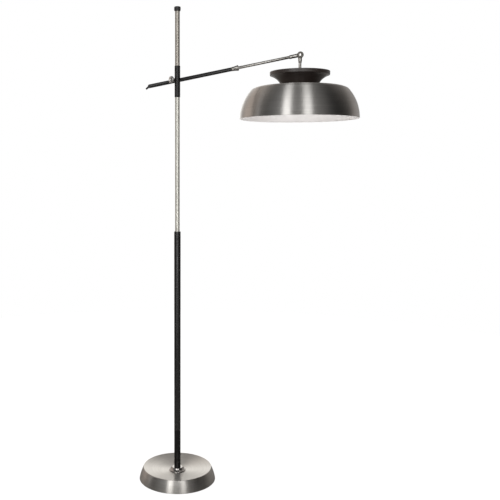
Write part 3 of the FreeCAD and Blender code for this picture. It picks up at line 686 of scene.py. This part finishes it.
def build_tail_cap(tail, radius):
    """The moulded cap on the arm's tail, with its angled outlet for the lead."""
    lead_bore, spigot = 2.3, 5.8
    dome = [(0, tail + 9), (spigot, tail + 9), (spigot, tail), (radius, tail),
            *arc((radius, tail), (2.2, tail - 4.6), -5.2, 12), (2.2, tail - 4.6),
            (0, tail - 4.8)]
    cap = turned("tail_cap_moulding", dome, 64)
    droop = math.radians(40) - math.asin(ARM_AXIS.z)      # the outlet points 40° down
    outlet = turned("outlet", rounded([
        (0, 0), (3.6, 0), (3.5, 8.5), (3.0, 9.3, 0.3), (3.2, 10.4, 0.3), (2.8, 11.8, 0.3),
        (3.0, 12.8, 0.3), (2.6, 15.0, 0.4), (0, 15.0),
    ], 3), 48)
    bore = cylinder("bore", lead_bore, 1, 20)
    for tool in (outlet, bore):
        tool.matrix_world = (Matrix.Translation((0, 0, tail * MM))
                             @ Matrix.Rotation(math.pi - droop, 4, "Y"))
    join_with(cap, outlet)
    cut_with(cap, bore)
    cut_with(cap, cylinder("inner", lead_bore, tail, tail + 12))
    cross = BACK.cross(ARM_AXIS).normalized()
    basis = Matrix((cross, BACK, ARM_AXIS)).transposed().to_4x4()
    cap.matrix_world = Matrix.Translation(CROSSING) @ basis
    dress(cap, "tail_cap")


# ------------------------------------------------------------ knuckle and stem

def half_disc(name, low, high, radius, facing):
    """A disc on the hinge axis, whose outer face is a rounded ring round a flat middle."""
    outline = rounded([
        (0, low), (radius, low, 0.2), (radius, high, 2.4), (radius - 4.3, high, 1.8),
        (radius - 4.3, high - 1.0), (0, high - 1.0),
    ], 8)
    return aim(turned(name, outline, 96), KNUCKLE, facing)


def paint_disc_dark_reflection(piece, radius):
    """The knuckle's disc takes a darker chrome than the socket that grows out of it: painted dark reflection."""
    for face in piece.data.polygons:
        if math.hypot(face.center.x, face.center.y) < radius * MM:
            face.material_index = 1


def build_knuckle():
    """The two halves of the friction knuckle, its screw and the shade's stem."""
    half, radius, gap = 8.0, 11.0, 0.15

    rear = half_disc("knuckle_rear_half", gap, half, radius, BACK)
    socket = turned("socket", rounded([
        (0, 9), (6.6, 9), (6.45, 24, 0.2), (6.0, 25, 0.3), (6.0, 26.5, 0.3),
        (6.4, 27.5, 0.2), (6.3, 36.0, 0.5), (5.2, 38), (0, 38),
    ], 3), 80)
    aim(socket, KNUCKLE, -ARM_AXIS)
    cut_with(socket, aim(cylinder("relief", radius + 0.4, -gap, 12, 96), KNUCKLE, FRONT))
    join_with(rear, socket)
    cut_with(rear, aim(cylinder("bore", 4.85, 15, 45, 80), KNUCKLE, -ARM_AXIS))
    cut_with(rear, aim(cylinder("hole", 3.1, -12, 12), KNUCKLE, BACK))
    paint_disc_dark_reflection(rear, radius)
    dress(rear, "knuckle_rear", PAINTED_DARK_REFLECTION_CHROME, finish=ARM_CHROME_PAINTED_SHADE)

    face = half_disc("knuckle_front_half", gap, half, radius, FRONT)
    neck = turned("neck", rounded([
        (0, 9), (6.6, 9), (6.3, 20.5, 0.2), (5.8, 21.5, 0.3), (5.9, 23.5, 0.3),
        (5.3, 26.0, 0.5), (0, 26),
    ], 3), 80)
    aim(neck, KNUCKLE, -UP)
    cut_with(neck, aim(cylinder("relief", radius + 0.4, -gap, 12, 96), KNUCKLE, BACK))
    join_with(face, neck)
    cut_with(face, aim(cylinder("bore", 4.8, 14, 30, 80), KNUCKLE, -UP))
    recess = [(0, half - 1.4), (6.4, half - 1.4), (6.9, half + 1), (0, half + 1)]
    cut_with(face, aim(turned("recess", recess, 80), KNUCKLE, FRONT))
    paint_disc_dark_reflection(face, radius)
    dress(face, "knuckle_front", PAINTED_DARK_REFLECTION_CHROME, finish=ARM_CHROME_PAINTED_SHADE)

    screw = turned("knuckle_pivot", rounded([
        (0, half + 1.6), (3.4, half + 1.25, 1.0), (5.5, half + 0.2, 0.5), (5.5, half - 1.4),
        (3.0, half - 1.4), (3.0, -half - 4.5, 0.3), (0, -half - 4.5),
    ], 5), 80)
    dress(aim(screw, KNUCKLE, FRONT), "knuckle_screw")

    low, high, radius = reach("stem", KNUCKLE, UP)
    bore = 3.5
    stem = rounded([(bore, low, 0.2), (radius, low, 0.3), (radius, high, 0.3),
                    (bore, high, 0.2)])
    dress(aim(turned("shade_stem", stem, 80), KNUCKLE, UP), "stem", finish=ARM_CHROME_PAINTED_SHADE)


# ------------------------------------------------------------ dish and shade

def build_dish():
    """The dark dish above the shade: a flared bowl with a rounded lip."""
    floor, top, radius = reach("dish", KNUCKLE, UP)
    lip_foot = top - 12.3
    wall, neck, hole = 1.2, 60.0, 19.1
    flare_out = arc((neck, floor), (radius - 1.6, lip_foot), -60, 32)
    flare_in = arc((radius - 3.2, lip_foot + wall), (neck - 0.85, floor + wall), 60, 32)
    outline = [
        (hole, floor), (neck - 1.0, floor), (neck, floor + 0.4), *flare_out[1:],
        (radius - 1.6, lip_foot),
        *arc((radius - 1.6, lip_foot), (radius, lip_foot + 1.6), 1.6, 6),
        (radius, lip_foot + 1.6), (radius, top - 0.9),
        *arc((radius, top - 0.9), (radius - 0.9, top), 0.9, 6), (radius - 0.9, top),
        *arc((radius - 0.9, top), (radius - 1.8, top - 0.9), 0.9, 6), (radius - 1.8, top - 0.9),
        (radius - 1.8, lip_foot + 2.4), (radius - 3.2, lip_foot + wall), *flare_in,
        (neck - 0.85, floor + wall), (hole, floor + wall),
    ]
    dress(aim(turned("dish_bowl", outline, 192), KNUCKLE, UP), "dish")


def build_shade():
    """The spun shade, enamelled white inside, with a rounded hem."""
    low, high, radius = reach("shade", KNUCKLE, UP)
    radius -= 0.03          # just inside the CAD skin
    skin, hole, hem = 1.0, 19.1, 1.8
    crown, shoulder = (125.0, high - 0.8), (162.5, high - 8.5)
    rim = (radius, low + 2.5)
    inner_crown = (crown[0] - 0.1, high - skin - 0.8)
    inner_shoulder = (shoulder[0] - 0.7, shoulder[1] - 0.7)
    inner_rim = (radius - 1.3, low + 2.5)
    outside = [
        (hole, high), (64.0, high - 0.2), (100.0, high - 0.5), crown,
        *arc(crown, shoulder, -56, 20), shoulder, *arc(shoulder, rim, -148, 48), rim,
        (radius, low + 0.9), *arc((radius, low + 0.9), (radius - 0.9, low), -0.9, 6),
    ]
    inside = [
        (radius - 0.9, low), *arc((radius - 0.9, low), (radius - hem, low + 0.9), -0.9, 6),
        (radius - hem, low + 0.9), (radius - hem, low + 2.0), inner_rim,
        *arc(inner_rim, inner_shoulder, 148, 48), inner_shoulder,
        *arc(inner_shoulder, inner_crown, 56, 20), inner_crown, (hole, high - skin),
    ]
    first_inside = len(outside) - 4         # the hem's inner half is enamelled too
    shade = turned("shade_bell", outside + inside, 256,
                   material_at=lambda i: 1 if i >= first_inside else 0)
    dress(aim(shade, KNUCKLE, UP), "shade", INSIDE)


# ------------------------------------------------------------ lampholder and lamp

def build_lampholder():
    """The lampholder's ribbed cap and its threaded body."""
    low, high, radius = reach("holder_cap", KNUCKLE, UP)
    ribs = 36

    def grip(r, z, angle):
        if r < radius - 0.2 or not low + 1.5 < z < high - 4.5:
            return r
        return r - 0.35 * (0.5 - 0.5 * math.cos(ribs * angle))

    stem_hole = 4.85
    cap = rounded([
        (stem_hole, high), (radius - 4, high, 0.5), (radius, high - 4, 2.5),
        (radius, high - 5.0), (radius, low + 1.2), (radius - 0.3, low, 0.3),
        (radius - 2, low), (radius - 2, high - 6), (stem_hole, high - 6),
    ], 5)
    shell = aim(turned("holder_cap_shell", cap, ribs * 6, grip, sharp=40), KNUCKLE, UP)
    cut_with(shell, aim(cylinder("key_hole", 2.1, 10, 25, 32), KEY_FOOT, KEY_AXIS))
    dress(shell, "holder_cap")

    low, high, radius = reach("holder_body", KNUCKLE, UP)
    split = high - 1.0
    body = rounded([
        (14.2, low, 0.4), (radius - 1.0, low, 0.8), (radius - 0.5, low + 2.0),
        (radius - 0.5, high), (radius - 2, high), (radius - 2, split), (3, split),
        (3, split - 3), (14.2, split - 3),
    ], 4)
    bm = bmesh.new()
    add_turning(bm, body, 96)
    thread(bm, radius - 0.5, radius, low + 4, high - 1.5, 2.0, 64)
    dress(aim(finish_mesh("holder_skirt", bm), KNUCKLE, UP), "holder_body")


def build_lamp():
    """The lamp's screw base and round glass."""
    low, high, radius = reach("lamp_base", KNUCKLE, UP)
    bore, collar, core, pitch = 11.6, 12.6, 12.9, 3.6
    skin = [(0, high - 2.5), (3.5, high - 2.5), (bore, high - 7), (bore, low), (collar, low),
            (collar, low + 2), (core, low + 3), (core, high - 6), (4.5, high - 1.5),
            (4.0, high - 0.3), (3.4, high), (0, high)]
    bm = bmesh.new()
    add_turning(bm, skin, 80)
    thread(bm, core, radius, low + 5, high - 8, pitch, 72)
    dress(aim(finish_mesh("lamp_thread", bm), KNUCKLE, UP), "lamp_base")

    low, high, radius = reach("lamp_glass", KNUCKLE, UP)
    neck, glass = 12.6, 1.0
    centre = low + radius
    rise = math.sqrt(radius ** 2 - neck ** 2)
    inner_rise = math.sqrt((radius - glass) ** 2 - (neck - glass) ** 2)
    outline = [
        (0, low), *arc((0, low), (neck, centre + rise), radius, 40), (neck, centre + rise),
        (neck, high), (neck - glass, high), (neck - glass, centre + inner_rise),
        *arc((neck - glass, centre + inner_rise), (0, low + glass), -radius + glass, 40),
        (0, low + glass),
    ]
    dress(aim(turned("lamp_bulb", outline, 96), KNUCKLE, UP), "lamp_glass")


def build_switch_key():
    """The lampholder's flat turn key on its spindle."""
    bm = bmesh.new()
    add_turning(bm, rounded([(0, 17.3), (2, 17.3, 0.3), (2, 30), (0, 30)]), 40)
    add_block(bm, (-6, -1.5, 28), (6, 1.5, 42), 1.1, 4)
    key = finish_mesh("switch_grip", bm)
    side = Vector((1, 0, 0))
    basis = Matrix((side, KEY_AXIS.cross(side), KEY_AXIS)).transposed().to_4x4()
    key.matrix_world = Matrix.Translation(KEY_FOOT) @ basis
    dress(key, "switch_key")


def finish_cad_nodes():
    """Every CAD node that is still shown gets its slot's finish."""
    for name, node in frame["nodes"].items():
        node.data.materials.clear()
        node.data.materials.append(FINISHES[SLOT_OF[name]])


# ------------------------------------------------------------ studio

CAMERA_DISTANCE, CAMERA_HEIGHT, CAMERA_PITCH = 2.453, 1.106, 6.63
LENS, SHIFT = 51.5, 0.1452


def make_camera():
    """The camera stands a little above the sleeve and looks slightly down."""
    camera = bpy.data.objects.new("camera", bpy.data.cameras.new("camera"))
    camera.location = (0, -CAMERA_DISTANCE, CAMERA_HEIGHT)
    camera.rotation_euler = (math.radians(90 - CAMERA_PITCH), 0, 0)
    camera.data.lens = LENS
    camera.data.shift_x = SHIFT
    bpy.context.scene.collection.objects.link(camera)
    bpy.context.scene.camera = camera


def softbox(name, place, target, width, height, power):
    """A rectangular lamp that faces its target and is never seen itself."""
    light = bpy.data.lights.new(name, "AREA")
    light.shape = "RECTANGLE"
    light.size, light.size_y = width, height
    light.energy = power
    box = bpy.data.objects.new(name, light)
    box.location = place
    direction = Vector(target) - Vector(place)
    box.rotation_euler = direction.to_track_quat("-Z", "Y").to_euler()
    box.visible_camera = False
    bpy.context.scene.collection.objects.link(box)
    return box


def make_floor():
    """A pale floor that meets the eye as white as the room behind it."""
    bm = bmesh.new()
    bmesh.ops.create_circle(bm, cap_ends=True, radius=3.0, segments=96)
    floor = finish_mesh("studio_floor", bm)
    n = Nodes(bpy.data.materials.new("studio_floor"))
    place = n.object_place()
    cloud = n.noise(place, 3.0, 3.0, 0.5)
    away = n.add("ShaderNodeVectorMath", {0: place}, operation="LENGTH")["Value"]
    seen = n.add("ShaderNodeLightPath")["Is Camera Ray"]
    glow = n.math("MULTIPLY", seen, n.spread(away, 0.88, 1.0, 0.2, 1.5))
    tint = n.blend(n.spread(cloud, 0, 1), (0.28, 0.275, 0.27), (0.30, 0.295, 0.29))
    floor.data.materials.append(n.close(
        base_color=tint, roughness=0.9, specular_ior_level=0.1,
        emission_color=(1, 1, 1, 1), emission_strength=glow))


# What the metal sees round the room: degrees from the front, brightness and warmth.
WALLS = [
    (-180, 0.40, 0.10), (-160, 0.42, 0.12), (-150, 0.50, 0.14), (-143, 0.60, 0.18),
    (-134, 0.76, 0.22), (-122, 0.76, 0.22), (-112, 0.44, 0.16), (-103, 0.32, 0.14),
    (-99, 0.34, 0.06), (-97, 0.85, 0.00), (-95, 0.70, 0.00), (-91, 0.12, 0.00),
    (-80, 0.08, 0.00), (-72, 0.15, 0.00), (-62, 0.24, 0.00), (-52, 0.34, 0.00),
    (-15, 0.38, 0.02), (5, 0.36, 0.02), (30, 0.30, 0.03), (44, 0.18, 0.02),
    (52, 0.10, 0.00), (60, 0.05, 0.00), (68, 0.02, 0.00), (90, 0.04, 0.06),
    (99, 0.07, 0.10), (107, 0.14, 0.12), (116, 0.32, 0.12), (126, 0.42, 0.10),
    (150, 0.45, 0.06), (180, 0.40, 0.10),
]


def make_world():
    """White to the eye; the metal sees dim walls, thin strips and a low bright backdrop."""
    world = bpy.data.worlds.new("studio")
    bpy.context.scene.world = world
    n = Nodes(world)
    east, north, up = n.add("ShaderNodeSeparateXYZ", {
        0: n.add("ShaderNodeTexCoord")["Generated"]})
    turn = n.math("ARCTAN2", east, n.math("MULTIPLY", north, -1.0))
    around = n.spread(turn, 0.0, 1.0, -math.pi, math.pi)
    walls = n.tree.nodes.new("ShaderNodeValToRGB")
    n.put(walls.inputs["Fac"], around)
    stops = walls.color_ramp.elements
    while len(stops) < len(WALLS):
        stops.new(0.5)
    for stop, (degrees, light, warmth) in zip(stops, WALLS):
        stop.position = degrees / 360 + 0.5
        stop.color = (light, light * (1 - warmth * 0.6), light * (1 - warmth), 1)
    rise = n.spread(up, 0.0, 1.0, -0.35, -0.20)
    fall = n.spread(up, 1.0, 0.0, 0.50, 0.74)
    behind = n.spread(n.math("ABSOLUTE", turn), 0.0, 1.0,
                      math.radians(155), math.radians(168))
    backdrop = n.math("MULTIPLY", n.math("MULTIPLY", rise, fall), behind)
    room = n.blend(backdrop, walls.outputs["Color"], (1.50, 1.48, 1.44))
    room = n.blend(n.spread(up, 0.0, 1.0, 0.75, 0.95), room, (0.04, 0.04, 0.04))
    room = n.blend(n.spread(up, 0.0, 1.0, 0.965, 0.985), room, (0.12, 0.12, 0.12))
    dim = n.add("ShaderNodeBackground", {"Color": room})[0]
    white = n.add("ShaderNodeBackground", {"Color": (1, 1, 1, 1)})[0]
    seen = n.add("ShaderNodeLightPath")["Is Camera Ray"]
    both = n.add("ShaderNodeMixShader", {0: seen, 1: dim, 2: white})[0]
    n.add("ShaderNodeOutputWorld", {"Surface": both})


def make_studio():
    """Two tall strips in front, soft fill above and below, and a spot on the collar."""
    make_floor()
    make_world()
    softbox("strip_left", (-0.71, -1.75, 1.5), (0.1, 0, 1.1), 0.52, 3.0, 13.8)
    softbox("strip_right", (0.62, -1.82, 1.5), (0.2, 0, 1.1), 0.48, 3.0, 9.6)
    overhead = softbox("overhead", (0.3, 0.2, 3.4), (0.2, 0, 0), 2.4, 2.4, 24)
    bounce = softbox("floor_bounce", (0.41, -0.25, 0.25), (0.41, 0.1, 1.4), 1.2, 1.0, 12.5)
    softbox("collar_key", (0.0, -0.75, 0.78), (0, -0.03, 0.04), 0.16, 0.16, 0.5)
    for light in (overhead, bounce):
        light.visible_glossy = False
    bpy.context.scene.view_settings.view_transform = "Standard"


make_camera()
make_studio()
finish_cad_nodes()
build_base()
build_pole()
build_sleeve()
build_clamp_screw()
build_arm()
build_knuckle()
build_dish()
build_shade()
build_lampholder()
build_lamp()
build_switch_key()
